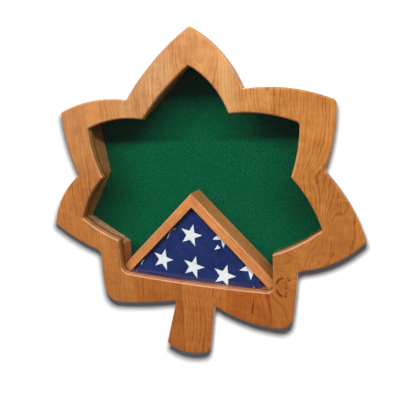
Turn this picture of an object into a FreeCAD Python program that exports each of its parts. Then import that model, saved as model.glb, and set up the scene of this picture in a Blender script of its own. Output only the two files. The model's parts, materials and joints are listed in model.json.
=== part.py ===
import FreeCAD, Part
import math
import os

# A leaf shaped wall case for a folded flag, in millimetres.
# +X is to the right seen from the front, +Y runs into the wall and +Z is up.
# The outline is drawn about the leaf's centre, and the finished pieces are then
# lowered so that the origin lies on the wall, level with the two hangers.

Vector = FreeCAD.Vector
OUT = Vector(0, 1, 0)
UP = Vector(0, 0, 1)
ACROSS = Vector(1, 0, 0)

# Depths of the layers
face_thickness = 19.0
box_depth = 65.0
glazing_thickness = 3.0
panel_thickness = 6.0
felt_thickness = 2.0

# Face, cut from upright boards glued edge to edge at four seams
face_edge_radius = 4.0
seam_left = -145.0
seam_mid_left = -22.0
seam_mid_right = 80.0
seam_right = 180.0

# Corners of the leaf (x, z, corner radius), clockwise from the top seen from the front
leaf_corners = {
    "apex": (23.0, 351.0, 7.0),
    "crown_notch_right": (127.0, 227.0, 2.0),
    "upper_tip_right": (295.0, 196.0, 9.0),
    "waist_notch_right": (278.0, 70.0, 2.0),
    "lower_tip_right": (355.0, -61.0, 7.0),
    "foot_notch_right": (231.0, -133.0, 14.0),
    "foot_tip_right": (219.0, -264.0, 32.0),
    "stem_root_right": (51.0, -232.0, 3.0),
    "stem_end_right": (37.0, -348.0, 10.0),
    "stem_end_left": (-71.0, -346.0, 8.0),
    "stem_root_left": (-40.0, -232.0, 3.0),
    "foot_tip_left": (-228.0, -259.0, 36.0),
    "foot_notch_left": (-235.0, -128.0, 14.0),
    "lower_tip_left": (-361.0, -65.0, 8.0),
    "waist_notch_left": (-274.0, 58.0, 2.0),
    "upper_tip_left": (-306.0, 203.0, 8.0),
    "crown_notch_left": (-129.0, 222.0, 2.0),
}

# How far each side of the leaf swells out of the straight line between its corners
leaf_bulges = {
    "crown_right": 13.0,
    "upper_top_right": 11.0,
    "upper_side_right": 6.0,
    "lower_top_right": 8.0,
    "lower_under_right": 14.0,
    "foot_right": 2.0,
    "heel_right": 13.0,
    "stem_right": 0.0,
    "stem_end": 15.0,
    "stem_left": 0.0,
    "heel_left": 5.0,
    "foot_left": 2.0,
    "lower_under_left": 6.0,
    "lower_top_left": 14.0,
    "upper_side_left": 7.0,
    "upper_top_left": 12.0,
    "crown_left": 10.0,
}

# Corners of the opening in the face (x, z, corner radius), in the same order
opening_corners = {
    "apex": (17.0, 278.0, 5.0),
    "crown_notch_right": (97.0, 181.0, 2.0),
    "upper_tip_right": (232.0, 158.0, 9.0),
    "waist_notch_right": (217.0, 57.0, 2.0),
    "lower_tip_right": (276.0, -45.0, 5.0),
    "foot_notch_right": (181.0, -102.0, 2.0),
    "sill_end_right": (181.0, -185.5, 14.0),
    "sill_end_left": (-178.0, -178.0, 18.0),
    "foot_notch_left": (-180.0, -97.0, 2.0),
    "lower_tip_left": (-276.0, -47.0, 5.0),
    "waist_notch_left": (-209.0, 51.0, 2.0),
    "upper_tip_left": (-235.0, 163.0, 6.0),
    "crown_notch_left": (-94.0, 178.0, 2.0),
}

# How far each side of the opening swells out of its straight line
opening_bulges = {
    "crown_right": 11.0,
    "upper_top_right": 8.0,
    "upper_side_right": 4.0,
    "lower_top_right": 6.0,
    "lower_under_right": 4.0,
    "foot_right": 1.0,
    "sill": 5.0,
    "foot_left": 1.0,
    "lower_under_left": 5.0,
    "lower_top_left": 8.0,
    "upper_side_left": 6.0,
    "upper_top_left": 10.0,
    "crown_left": 5.0,
}

# Flag, folded to a right angled triangle, and the two rails over it
flag_leg = 243.5
flag_clearance = 1.0
flag_seat_gap = 0.3
flag_front_gap = 10.0
flag_rear_gap = 0.5
flag_corner_radius = 5.0
flag_front_radius = 7.0
flag_rear_radius = 4.0
rail_width = 22.0
rail_clearance = 0.3
rail_outer_radius = 4.0
rail_inner_radius = 1.5

# How far the sill runs past the flag's corners, which is room for the feet of the rails
rail_foot_right = 13.0
rail_foot_left = 21.0
flag_height = flag_leg / math.sqrt(2)
rail_inner_height = flag_seat_gap + flag_height + flag_clearance * math.sqrt(2)
foot_x_right = rail_inner_height + rail_foot_right
foot_x_left = -rail_inner_height - rail_foot_left

# Inner corners (x, z) of the box of straight boards behind the face, in the same order
box_corners = {
    "apex": (16.0, 307.0),
    "crown_notch_right": (105.0, 200.0),
    "upper_tip_right": (251.0, 176.0),
    "waist_notch_right": (235.0, 59.0),
    "lower_tip_right": (300.0, -60.0),
    "foot_notch_right": (foot_x_right, -119.0),
    "sill_end_right": (foot_x_right, -191.0),
    "sill_end_left": (foot_x_left, -188.0),
    "foot_notch_left": (foot_x_left, -121.0),
    "lower_tip_left": (-304.0, -58.0),
    "waist_notch_left": (-234.0, 57.0),
    "upper_tip_left": (-254.0, 184.0),
    "crown_notch_left": (-106.0, 196.0),
}
wall_thickness = 19.0
rabbet_width = 5.0
panel_clearance = 0.8
glazing_lap = 6.0
glazing_clearance = 0.3

# Turn buttons along the rear rim: side of the box and share of its length
button_places = {
    "turn_button_crown_right": ("crown_right", 0.45),
    "turn_button_lower_right": ("lower_top_right", 0.4),
    "turn_button_sill_right": ("sill", 0.2),
    "turn_button_sill_left": ("sill", 0.7),
    "turn_button_lower_left": ("lower_top_left", 0.4),
    "turn_button_crown_left": ("crown_left", 0.4),
}
button_length = 34.0
button_width = 11.0
button_thickness = 3.0
button_lift = 0.2
button_hole_clearance = 0.1
rim_margin = 1.5

# Screws
button_screw_radius = 1.75
button_screw_length = 16.0
hanger_screw_radius = 1.4
hanger_screw_length = 12.0
rail_screw_radius = 2.0
rail_screw_reach = 10.0
screw_head_overhang = 1.3
screw_head_height = 1.8
pilot_clearance = 0.05

# Strap hangers with a D ring, one on each upper side board
hanger_sides = {"left": "upper_side_left", "right": "upper_side_right"}
hang_height = 108.0
strap_width = 10.0
strap_thickness = 0.8
strap_length = 15.0
strap_hole_drop = 8.5
barrel_wall = 1.0
barrel_length = 8.0
ring_wire_radius = 1.0
ring_clearance = 0.2
ring_half_width = 6.4
ring_leg = 7.5
ring_bend_radius = 1.6

# Rubber bumpers on the rear rim
bumper_places = [
    ("upper_top_right", 0.55),
    ("foot_right", 0.5),
    ("foot_left", 0.5),
    ("upper_top_left", 0.45),
]
bumper_radius = 5.0
bumper_spare = 1.0

# Places that follow from the sizes above
bumper_height = button_lift + button_thickness + screw_head_height + bumper_spare
rim_y = -bumper_height
panel_front_y = rim_y - panel_thickness
felt_front_y = panel_front_y - felt_thickness
face_back_y = rim_y - box_depth
face_front_y = face_back_y - face_thickness
glazing_back_y = face_back_y + glazing_thickness
barrel_radius = ring_wire_radius + ring_clearance + barrel_wall
far = 1000.0
same = 1e-4


def point(x, z, y=0.0):
    return Vector(x, y, z)


def outward(a, b):
    """Unit normal that points out of a clockwise outline, for the side from a to b."""
    run = (b - a).normalize()
    return Vector(-run.z, 0, run.x)


def prism(wire, front_y, depth):
    face = Part.Face(wire)
    face.translate(OUT * front_y)
    return face.extrude(OUT * depth)


def polygon(points):
    return Part.makePolygon(points + [points[0]])


def beside(a, b):
    """How far apart two points lie, seen from the front."""
    return math.hypot(a.x - b.x, a.z - b.z)


def line_crossing(a, b, c, d):
    """Where the line through a and b meets the line through c and d."""
    first = b - a
    second = d - c
    spread = first.x * second.z - first.z * second.x
    share = ((c.x - a.x) * second.z - (c.z - a.z) * second.x) / spread
    return a + first * share


# The leaf shaped face

def bowed_edge(a, b, bulge):
    if bulge == 0:
        return Part.LineSegment(a, b).toShape()
    middle = (a + b) * 0.5 + outward(a, b) * bulge
    return Part.Arc(a, middle, b).toShape()


def rounded_prism(edges, radii, front_y, depth):
    """An upright outline pushed back in depth, with each corner rounded by its own radius."""
    solid = prism(Part.Wire(edges), front_y, depth)
    for edge, radius in zip(edges, radii):
        corner = edge.Vertexes[0].Point
        upright = [e for e in solid.Edges if stands_on(e, corner)]
        solid = solid.makeFillet(radius, upright)
    return solid


def stands_on(edge, corner):
    ends = [vertex.Point for vertex in edge.Vertexes]
    return len(ends) == 2 and all(beside(end, corner) < same for end in ends)


def outline_prism(corners, bulges):
    points = [point(x, z) for x, z, radius in corners.values()]
    radii = [radius for x, z, radius in corners.values()]
    sides = zip(points, points[1:] + points[:1], bulges.values())
    edges = [bowed_edge(a, b, bulge) for a, b, bulge in sides]
    return rounded_prism(edges, radii, face_front_y, face_thickness)


def edges_at(solid, y):
    return [e for e in solid.Edges if abs(e.BoundBox.YMin - y) < same and abs(e.BoundBox.YMax - y) < same]


def face_ring():
    ring = outline_prism(leaf_corners, leaf_bulges).cut(outline_prism(opening_corners, opening_bulges))
    return ring.makeFillet(face_edge_radius, edges_at(ring, face_front_y))


def face_boards():
    """The ring sawn at its seams: whole boards at the ends, an upper and a lower one between."""
    ring = face_ring()
    spans = [
        ("face_left", "face_left", -far, seam_left),
        ("face_upper_left", "face_lower_left", seam_left, seam_mid_left),
        ("face_crown", "face_stem", seam_mid_left, seam_mid_right),
        ("face_upper_right", "face_lower_right", seam_mid_right, seam_right),
        ("face_right", "face_right", seam_right, far),
    ]
    boards = {}
    for upper, lower, left, right in spans:
        slab = Part.makeBox(right - left, 2 * far, 2 * far, Vector(left, -far, -far))
        for solid in ring.common(slab).Solids:
            name = upper if solid.CenterOfMass.z > 0 else lower
            boards[name] = solid
    return boards


# The box: walls, glazing, back panel and felt

box_sides = list(opening_bulges)


def box_line(growth=0.0):
    """Corners of the box's inner faces, with every side moved outwards by the growth."""
    points = [point(x, z) for x, z in box_corners.values()]
    lines = []
    for a, b in zip(points, points[1:] + points[:1]):
        shift = outward(a, b) * growth
        lines.append((a + shift, b + shift))
    return [line_crossing(*lines[index - 1], *lines[index]) for index in range(len(lines))]


def box_side(name, growth):
    line = box_line(growth)
    index = box_sides.index(name)
    return line[index], line[(index + 1) % len(line)]


def walls():
    """One mitred board for each side, rebated in front for the glazing and behind for the panel."""
    glazing_seat = prism(polygon(box_line(glazing_lap + glazing_clearance)), face_back_y, glazing_thickness)
    panel_seat = prism(polygon(box_line(rabbet_width)), felt_front_y, rim_y - felt_front_y)
    boards = {}
    for name in box_sides:
        inner = box_side(name, 0.0)
        outer = box_side(name, wall_thickness)
        blank = polygon([outer[0], outer[1], inner[1], inner[0]])
        boards["wall_" + name] = prism(blank, face_back_y, box_depth).cut([glazing_seat, panel_seat])
    return boards


def glazing():
    return prism(polygon(box_line(glazing_lap)), face_back_y, glazing_thickness)


def back_sheet(front_y, thickness):
    return prism(polygon(box_line(rabbet_width - panel_clearance)), front_y, thickness)


# The flag and its rails

def flag_axes():
    """Middle of the sill wall's top, with unit vectors along it to the right and square to it."""
    right, left = box_side("sill", 0.0)
    along = (right - left).normalize()
    rise = outward(left, right)
    return line_crossing(left, right, point(0, 0), point(rise.x, rise.z)), along, rise


def flag_rails():
    sill, along, rise = flag_axes()
    inner_apex = sill + rise * rail_inner_height
    outer_apex = inner_apex + rise * (rail_width * math.sqrt(2))
    depth = felt_front_y - rail_clearance - glazing_back_y
    room = prism(polygon(box_line()), glazing_back_y, depth)
    rails = {}
    for name, hand in (("flag_rail_left", -1), ("flag_rail_right", 1)):
        down = (along * hand - rise) * far
        blank = polygon([outer_apex, outer_apex + down, inner_apex + down, inner_apex])
        rail = prism(blank, glazing_back_y, depth)
        rail = rail.makeFillet(rail_outer_radius, front_edge(rail, outer_apex + down * 0.5))
        rail = rail.makeFillet(rail_inner_radius, front_edge(rail, inner_apex + down * 0.5))
        rails[name] = rail.common(room)
    return rails


def front_edge(rail, middle):
    """The long edge of the rail's front whose middle lies nearest to the one given."""
    return [min(edges_at(rail, glazing_back_y), key=lambda e: beside(e.CenterOfMass, middle))]


def folded_flag():
    """A right angled bundle with soft edges, standing on the sill wall."""
    sill, along, rise = flag_axes()
    base = sill + rise * flag_seat_gap
    half_base = along * flag_height
    corners = [base + rise * flag_height, base + half_base, base - half_base]
    edges = [Part.LineSegment(a, b).toShape() for a, b in zip(corners, corners[1:] + corners[:1])]
    front = glazing_back_y + flag_front_gap
    rear = felt_front_y - flag_rear_gap
    bundle = rounded_prism(edges, [flag_corner_radius] * len(corners), front, rear - front)
    bundle = bundle.makeFillet(flag_front_radius, edges_at(bundle, front))
    return bundle.makeFillet(flag_rear_radius, edges_at(bundle, rear))


# Screws, turn buttons, hangers and bumpers on the rear rim

def screw(radius, length, seat, axis):
    """A flat topped screw whose head sits on the seat and whose shank runs along the axis."""
    shank = Part.makeCylinder(radius, length, seat, axis)
    head = Part.makeCylinder(radius + screw_head_overhang, screw_head_height, seat, axis * -1)
    return shank.fuse(head).removeSplitter()


def drilled(solid, radius, length, seat, axis):
    return solid.cut(Part.makeCylinder(radius + pilot_clearance, length + pilot_clearance, seat, axis))


def rim_place(side, share, half_width):
    """A spot on the rear rim, clear of the back panel, and the unit vector along the board."""
    a, b = box_side(side, rabbet_width + rim_margin + half_width)
    spot = a + (b - a) * share
    return point(spot.x, spot.z, rim_y), (b - a).normalize()


def turn_button(side, share):
    """A round ended bar that lies along the rim and turns a quarter over the back panel."""
    half = button_width / 2
    pivot, along = rim_place(side, share, half)
    tip = pivot + along * (button_length - button_width)
    across = Vector(-along.z, 0, along.x) * half
    edges = [
        Part.LineSegment(pivot + across, tip + across).toShape(),
        Part.Arc(tip + across, tip + along * half, tip - across).toShape(),
        Part.LineSegment(tip - across, pivot - across).toShape(),
        Part.Arc(pivot - across, pivot - along * half, pivot + across).toShape(),
    ]
    bar = prism(Part.Wire(edges), button_lift, button_thickness)
    hole = Part.makeCylinder(button_screw_radius + button_hole_clearance, bumper_height, pivot, OUT)
    return bar.cut(hole)


def hanger_place(side):
    """Where a hanger sits: local z runs up the board, local y out of the rim."""
    a, b = box_side(side, rabbet_width + rim_margin + ring_half_width + ring_wire_radius)
    spot = line_crossing(a, b, point(0, hang_height), point(1, hang_height))
    rise = b - a if b.z > a.z else a - b
    lean = math.degrees(math.atan2(rise.x, rise.z))
    return FreeCAD.Placement(point(spot.x, spot.z, rim_y), FreeCAD.Rotation(OUT, lean))


def hanger_strap():
    """A screw plate whose top end is rolled to a barrel for the ring."""
    plate_corner = Vector(-strap_width / 2, 0, -strap_length)
    plate = Part.makeBox(strap_width, strap_thickness, strap_length, plate_corner)
    barrel_start = Vector(-barrel_length / 2, barrel_radius, 0)
    barrel = Part.makeCylinder(barrel_radius, barrel_length, barrel_start, ACROSS)
    bore_start = Vector(-strap_width, barrel_radius, 0)
    bore = Part.makeCylinder(barrel_radius - barrel_wall, 2 * strap_width, bore_start, ACROSS)
    strap = plate.fuse(barrel).cut(bore).removeSplitter()
    return drilled(strap, hanger_screw_radius, strap_thickness, Vector(0, 0, -strap_hole_drop), OUT)


def hanger_ring():
    """A D of round wire that hangs from the strap, its straight bar in the barrel."""
    level = OUT * barrel_radius
    wide = ring_half_width
    bend = ring_bend_radius
    cut = bend * (1 - math.sqrt(0.5))
    bar_left = level + point(bend - wide, 0)
    bar_right = level + point(wide - bend, 0)
    leg_right = level + point(wide, -bend)
    leg_left = level + point(-wide, -bend)
    end_right = level + point(wide, -ring_leg)
    end_left = level + point(-wide, -ring_leg)
    loop = [
        Part.Arc(bar_right, level + point(wide - cut, -cut), leg_right).toShape(),
        Part.LineSegment(leg_right, end_right).toShape(),
        Part.Arc(end_right, level + point(0, -ring_leg - wide), end_left).toShape(),
        Part.LineSegment(end_left, leg_left).toShape(),
        Part.Arc(leg_left, level + point(cut - wide, -cut), bar_left).toShape(),
    ]
    section = Part.Wire(Part.Circle(bar_right, ACROSS, ring_wire_radius).toShape())
    bent = Part.Wire(loop).makePipeShell([section], True, False)
    bar = Part.makeCylinder(ring_wire_radius, (bar_right - bar_left).Length, bar_left, ACROSS)
    return bent.fuse(bar).removeSplitter()


def wall_bumpers():
    spots = [rim_place(side, share, bumper_radius)[0] for side, share in bumper_places]
    return Part.makeCompound([Part.makeCylinder(bumper_radius, bumper_height, spot, OUT) for spot in spots])


def rail_screw_seats():
    """Under the sill wall, below the middle of each rail's foot."""
    sill, along, rise = flag_axes()
    middle_y = (glazing_back_y + felt_front_y) / 2
    seats = []
    for corner, hand in zip(box_side("sill", 0.0), (1, -1)):
        inner_foot = sill + along * (hand * rail_inner_height)
        foot = (inner_foot + corner) * 0.5
        seats.append(foot - rise * wall_thickness + OUT * middle_y)
    return seats


# Assembly

nodes = face_boards()
nodes.update(walls())
nodes.update(flag_rails())
nodes["glazing"] = glazing()
nodes["back_panel"] = back_sheet(panel_front_y, panel_thickness)
nodes["felt_lining"] = back_sheet(felt_front_y, felt_thickness)
nodes["folded_flag"] = folded_flag()
nodes["wall_bumpers"] = wall_bumpers()

button_screws = []
for name, (side, share) in button_places.items():
    nodes[name] = turn_button(side, share)
    pivot, along = rim_place(side, share, button_width / 2)
    seat = pivot + OUT * (button_lift + button_thickness)
    button_screws.append(screw(button_screw_radius, button_screw_length, seat, -OUT))
    wall = "wall_" + side
    nodes[wall] = drilled(nodes[wall], button_screw_radius, button_screw_length, pivot, -OUT)
    print(name, "pivot", pivot - UP * hang_height)
nodes["button_screws"] = Part.makeCompound(button_screws)

hanger_screws = []
for hand, side in hanger_sides.items():
    place = hanger_place(side)
    strap = hanger_strap()
    ring = hanger_ring()
    plate_top = Vector(0, strap_thickness, -strap_hole_drop)
    fixing = screw(hanger_screw_radius, hanger_screw_length, plate_top, -OUT)
    for piece in (strap, ring, fixing):
        piece.Placement = place
    nodes["hanger_strap_" + hand] = strap
    nodes["hanger_ring_" + hand] = ring
    hanger_screws.append(fixing)
    wall = "wall_" + side
    seat = place.multVec(plate_top - OUT * strap_thickness)
    nodes[wall] = drilled(nodes[wall], hanger_screw_radius, hanger_screw_length, seat, -OUT)
    pivot = place.multVec(OUT * barrel_radius) - UP * hang_height
    print("hanger", hand, "pivot", pivot, "axis", place.Rotation.multVec(ACROSS))
nodes["hanger_screws"] = Part.makeCompound(hanger_screws)

rail_screws = []
rise = flag_axes()[2]
rail_screw_length = wall_thickness + rail_screw_reach
for seat in rail_screw_seats():
    rail_screws.append(screw(rail_screw_radius, rail_screw_length, seat, rise))
    for name in ("wall_sill", "flag_rail_left", "flag_rail_right"):
        nodes[name] = drilled(nodes[name], rail_screw_radius, rail_screw_length, seat, rise)
nodes["rail_screws"] = Part.makeCompound(rail_screws)

os.makedirs("parts", exist_ok=True)
for name, shape in nodes.items():
    lowered = shape.translated(UP * -hang_height)
    lowered.exportStep("parts/" + name + ".step")
    print(name, len(lowered.Solids), round(lowered.Volume), lowered.isValid())
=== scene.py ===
import json
import math

import bmesh
import bpy
from mathutils import Matrix, Vector, noise

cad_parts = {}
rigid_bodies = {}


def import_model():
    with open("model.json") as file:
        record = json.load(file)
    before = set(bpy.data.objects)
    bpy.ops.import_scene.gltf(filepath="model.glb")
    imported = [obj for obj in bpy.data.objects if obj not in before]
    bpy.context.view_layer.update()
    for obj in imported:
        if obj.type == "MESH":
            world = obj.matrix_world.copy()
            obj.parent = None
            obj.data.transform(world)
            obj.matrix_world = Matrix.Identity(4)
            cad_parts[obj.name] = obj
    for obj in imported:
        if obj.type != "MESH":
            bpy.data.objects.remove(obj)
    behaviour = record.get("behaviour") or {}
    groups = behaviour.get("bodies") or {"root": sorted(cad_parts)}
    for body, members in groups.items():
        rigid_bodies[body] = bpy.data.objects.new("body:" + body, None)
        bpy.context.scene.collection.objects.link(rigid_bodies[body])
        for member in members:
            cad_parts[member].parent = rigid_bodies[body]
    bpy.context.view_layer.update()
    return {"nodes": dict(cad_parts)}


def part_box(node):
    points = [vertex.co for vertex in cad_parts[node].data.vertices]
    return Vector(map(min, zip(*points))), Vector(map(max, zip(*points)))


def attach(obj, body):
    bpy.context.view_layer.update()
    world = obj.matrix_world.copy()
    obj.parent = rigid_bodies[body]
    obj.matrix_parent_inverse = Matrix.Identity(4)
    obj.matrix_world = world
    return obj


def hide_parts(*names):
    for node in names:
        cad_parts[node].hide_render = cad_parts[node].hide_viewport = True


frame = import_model()


# The leaf's face: eight boards of honey coloured cherry, glued edge to edge with the grain upright.
# The panel is sawn to the leaf's outline, its edges are rounded over, and it has a satin lacquer.

class Tone:
    """One output in a finish's nodes. Sums on it add Math nodes, so a finish reads as a formula."""

    def __init__(self, finish, socket):
        self.finish = finish
        self.socket = socket

    def sum(self, operation, first, second=0.0):
        return self.finish.node("ShaderNodeMath", {"operation": operation}, {0: first, 1: second})

    def __add__(self, other):
        return self.sum("ADD", self, other)

    __radd__ = __add__

    def __sub__(self, other):
        return self.sum("SUBTRACT", self, other)

    def __rsub__(self, other):
        return self.sum("SUBTRACT", other, self)

    def __mul__(self, other):
        return self.sum("MULTIPLY", self, other)

    __rmul__ = __mul__

    def __truediv__(self, other):
        return self.sum("DIVIDE", self, other)

    def __rtruediv__(self, other):
        return self.sum("DIVIDE", other, self)

    def __pow__(self, power):
        return self.sum("POWER", self, power)

    def fract(self):
        return self.sum("FRACT", self)

    def sine(self):
        return self.sum("SINE", self)

    def size(self):
        return self.sum("ABSOLUTE", self)

    def at_most(self, other):
        return self.sum("MINIMUM", self, other)

    def at_least(self, other):
        return self.sum("MAXIMUM", self, other)

    def step(self, low, high):
        """0 below low, 1 above high and a smooth rise between them."""
        limits = {"Value": self, "From Min": low, "From Max": high}
        return self.finish.node("ShaderNodeMapRange", {"interpolation_type": "SMOOTHSTEP"}, limits)


class Finish:
    """A material built from nodes round one Principled shader."""

    def __init__(self, name, constants):
        self.material = bpy.data.materials.new(name)
        self.material.use_nodes = True
        self.tree = self.material.node_tree
        self.shader = self.tree.nodes["Principled BSDF"]
        self.surface = self.tree.nodes["Material Output"].inputs["Surface"]
        for socket, value in constants.items():
            self.shader.inputs[socket].default_value = value

    def node(self, kind, settings, sockets, output=0):
        made = self.tree.nodes.new(kind)
        for name, value in settings.items():
            setattr(made, name, value)
        for name, value in sockets.items():
            self.feed(made.inputs[name], value)
        return Tone(self, made.outputs[output])

    def facing(self, direction):
        """How squarely the surface faces a direction, from -1 to 1."""
        normal = self.node("ShaderNodeTexCoord", {}, {}, "Normal")
        sockets = {0: normal, 1: direction}
        return self.node("ShaderNodeVectorMath", {"operation": "DOT_PRODUCT"}, sockets, "Value")

    def turned_to(self, spot):
        """Above 0 where the surface faces a spot, such as the opening's edge does to its middle."""
        away = self.node("ShaderNodeVectorMath", {"operation": "SUBTRACT"}, {0: spot, 1: self.place()})
        normal = self.node("ShaderNodeTexCoord", {}, {}, "Normal")
        return self.node("ShaderNodeVectorMath", {"operation": "DOT_PRODUCT"}, {0: away, 1: normal}, "Value")

    def feed(self, socket, value):
        if isinstance(value, Tone):
            self.tree.links.new(value.socket, socket)
        else:
            socket.default_value = value

    def place(self):
        return self.node("ShaderNodeTexCoord", {}, {}, "Object")

    def reach(self, direction):
        """How far a point of the piece lies along a direction, in metres from the frame's origin."""
        sockets = {0: self.place(), 1: direction}
        return self.node("ShaderNodeVectorMath", {"operation": "DOT_PRODUCT"}, sockets, "Value")

    def clouds(self, x, y, z, detail=2.0, rough=0.5):
        """Soft noise, 0 to 1 about a middle of 0.5."""
        spot = self.node("ShaderNodeCombineXYZ", {}, {0: x, 1: y, 2: z})
        sockets = {"Vector": spot, "Scale": 1.0, "Detail": detail, "Roughness": rough}
        return self.node("ShaderNodeTexNoise", {}, sockets)

    def mix(self, share, first, second, blend="MIX"):
        settings = {"data_type": "RGBA", "blend_type": blend}
        return self.node("ShaderNodeMix", settings, {0: share, 6: first, 7: second}, 2)

    def bump(self, height, depth):
        """Relief of the given depth in metres, where the height goes from 0 to 1."""
        relief = self.node("ShaderNodeBump", {}, {"Height": height, "Distance": depth})
        self.feed(self.shader.inputs["Normal"], relief)

    def paint(self, colour, roughness):
        self.feed(self.shader.inputs["Base Color"], colour)
        self.feed(self.shader.inputs["Roughness"], roughness)

    def cover(self, *names):
        for name in names:
            frame_object(name).data.materials[0] = self.material


def frame_object(name):
    return bpy.data.objects[name]


def rgb(red, green, blue):
    """A colour given from 0 to 255 as seen, as the shader wants it."""
    linear = []
    for part in (red, green, blue):
        share = part / 255
        linear.append(share / 12.92 if share <= 0.04045 else ((share + 0.055) / 1.055) ** 2.4)
    return (*linear, 1.0)


ring_width = 0.0072
# The pale colour painted on as light: a painted highlight on the rounded front edges and painted light from
# above on upward faces.
painted_light_colour = rgb(236, 196, 168)
leaf_middle = (0.0, -0.08, -0.1)
# Where the painted shade lies on the box boards: a band just behind the glazing, faded at its front and
# sharp at its rear.
rebate_shade_front = -0.0755
rebate_shade_rear = -0.0707
rebate_shade_fade = 0.001
rebate_shade_edge = 0.0002


def cherry(name, pale, dark, turn, heart, lean, swirls=(), figure=1.0):
    """Sawn cherry. The grain is turned from upright, and the tree's heart lies across and behind.

    The heart leans out of line with the board, which draws arches. A swirl bends the rings round
    a spot: its place across and along the grain, its half width and half height, and its strength.
    The figure is how strongly the board's streaks and patches show.
    """
    finish = Finish(name, {"Coat Weight": 0.4, "Coat Roughness": 0.3, "Specular IOR Level": 0.2})
    across = finish.reach((math.cos(turn), 0.0, math.sin(turn)))
    along = finish.reach((-math.sin(turn), 0.0, math.cos(turn)))
    behind = finish.reach((0.0, 1.0, 0.0))
    bend = finish.clouds(across * 9, behind * 9, along * 4) - 0.5
    wiggle = finish.clouds(across * 60, behind * 60, along * 38, 2.0, 0.6) - 0.5
    side = across - heart[0] + bend * 0.045 + wiggle * 0.009
    deep = behind - heart[1] + along * lean
    radius = (side * side + deep * deep) ** 0.5
    for middle, height, half_width, half_height, strength in swirls:
        off = (across - middle) / half_width
        up = (along - height) / half_height
        radius = radius + strength / (1 + off * off + up * up)
    rings = (radius / ring_width + finish.clouds(radius * 45, along * 2, 0.0) * 2).fract()
    late_wood = rings.step(0.60, 0.90) * (1 - rings.step(0.90, 1.0))
    vigour = finish.clouds(radius * 60, 0.3, along * 7, 1.0).step(0.38, 0.66)
    streak = finish.clouds(radius * 290, along * 7, behind * 8, 3.0, 0.65) - 0.5
    fibre = finish.clouds(across * 420, behind * 420, along * 26, 3.0, 0.65) - 0.5
    patch = finish.clouds(across * 15, behind * 15, along * 9, 3.0) - 0.5
    curl = finish.clouds(across * 40, behind * 40, along * 95) - 0.5
    pore = finish.clouds(across * 1000, behind * 1000, along * 90, 1.0).step(0.6, 0.74)
    mottling = (streak * 0.85 + patch * 1.1 + curl * 0.6) * figure
    tone = 0.25 + late_wood * (0.20 + vigour * 0.26) + fibre * 1.0 + mottling
    colour = finish.mix(tone.at_least(0.0).at_most(1.0), pale, dark)
    colour = finish.mix(pore * 0.35, colour, rgb(122, 66, 26))
    # Painted highlight: the rounded zone between the front and the sides is paler, most on the opening's
    # edges that face up. Painted top light: faces that look up are paler too.
    front = finish.facing((0.0, -1.0, 0.0))
    wear_and_painted_highlight = front.step(0.15, 0.5) * (1 - front.step(0.75, 0.97))
    painted_top_light = finish.facing((0.0, 0.0, 1.0)).step(0.72, 0.95)
    inner = finish.turned_to(leaf_middle).step(0.005, 0.03)
    upward = finish.facing((0.0, 0.0, 1.0)).step(-0.1, 0.5)
    painted_edge_highlight = wear_and_painted_highlight * (0.05 + inner * (0.10 + upward * 0.2))
    colour = finish.mix(painted_edge_highlight.at_least(painted_top_light * 0.17), colour, painted_light_colour)
    # Painted shade: the inner faces of the boards darken in a band just behind the glazing, where the face's
    # edge shades them.
    rebate_shade = behind.step(rebate_shade_front - rebate_shade_fade, rebate_shade_front)
    rebate_shade = rebate_shade * (1 - behind.step(rebate_shade_rear, rebate_shade_rear + rebate_shade_edge))
    colour = finish.mix(rebate_shade * inner * 0.75, colour, rgb(52, 30, 16))
    finish.paint(colour, 0.42 + fibre * 0.16 + late_wood * 0.05)
    finish.bump(fibre * 0.5 - pore * 0.5 + late_wood * 0.2, 0.00005)
    finish.across = across
    finish.along = along
    finish.wander = bend
    finish.colour = colour
    return finish


honey = rgb(209, 146, 82)
amber = rgb(148, 82, 30)
cherry("crown_board", honey, amber, 0.0, (0.045, -0.155), -0.25).cover("face_crown")
cherry("upper_left_board", rgb(204, 151, 97), amber, 0.01, (-0.25, -0.11), 0.05).cover("face_upper_left")

# The left board pales towards its top and darkens towards its foot
fading = cherry("left_board", rgb(194, 124, 61), rgb(132, 70, 24), 0.0, (-0.38, -0.06), -0.10)
paler = fading.along.step(-0.10, 0.06)
darker = 1 - fading.along.step(-0.34, -0.18)
colour = fading.mix(paler * 0.13, fading.colour, rgb(226, 180, 122))
fading.feed(fading.shader.inputs["Base Color"], fading.mix(darker * 0.14, colour, rgb(120, 60, 14)))
fading.cover("face_left")

lower_left = cherry("lower_left_board", rgb(184, 108, 47), rgb(128, 62, 16), -0.02, (-0.20, -0.06), 0.06)
lower_left.cover("face_lower_left")
stem_swirls = ((0.055, -0.30, 0.05, 0.03, 0.03),)
stem = cherry("stem_board", rgb(198, 120, 56), rgb(134, 64, 18), -0.12, (-0.06, -0.06), 0.10, stem_swirls)
stem.cover("face_stem")

# The upper right board has a band of pale sapwood beside the crown
sappy = cherry("upper_right_board", rgb(205, 139, 72), rgb(146, 82, 27), 0.0, (0.183, -0.1265), -0.25)
sapwood = 1 - (sappy.across + sappy.wander * 0.02).step(0.100, 0.128)
sappy.feed(sappy.shader.inputs["Base Color"], sappy.mix(sapwood * 0.28, sappy.colour, rgb(232, 186, 132)))
sappy.cover("face_upper_right")

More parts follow.
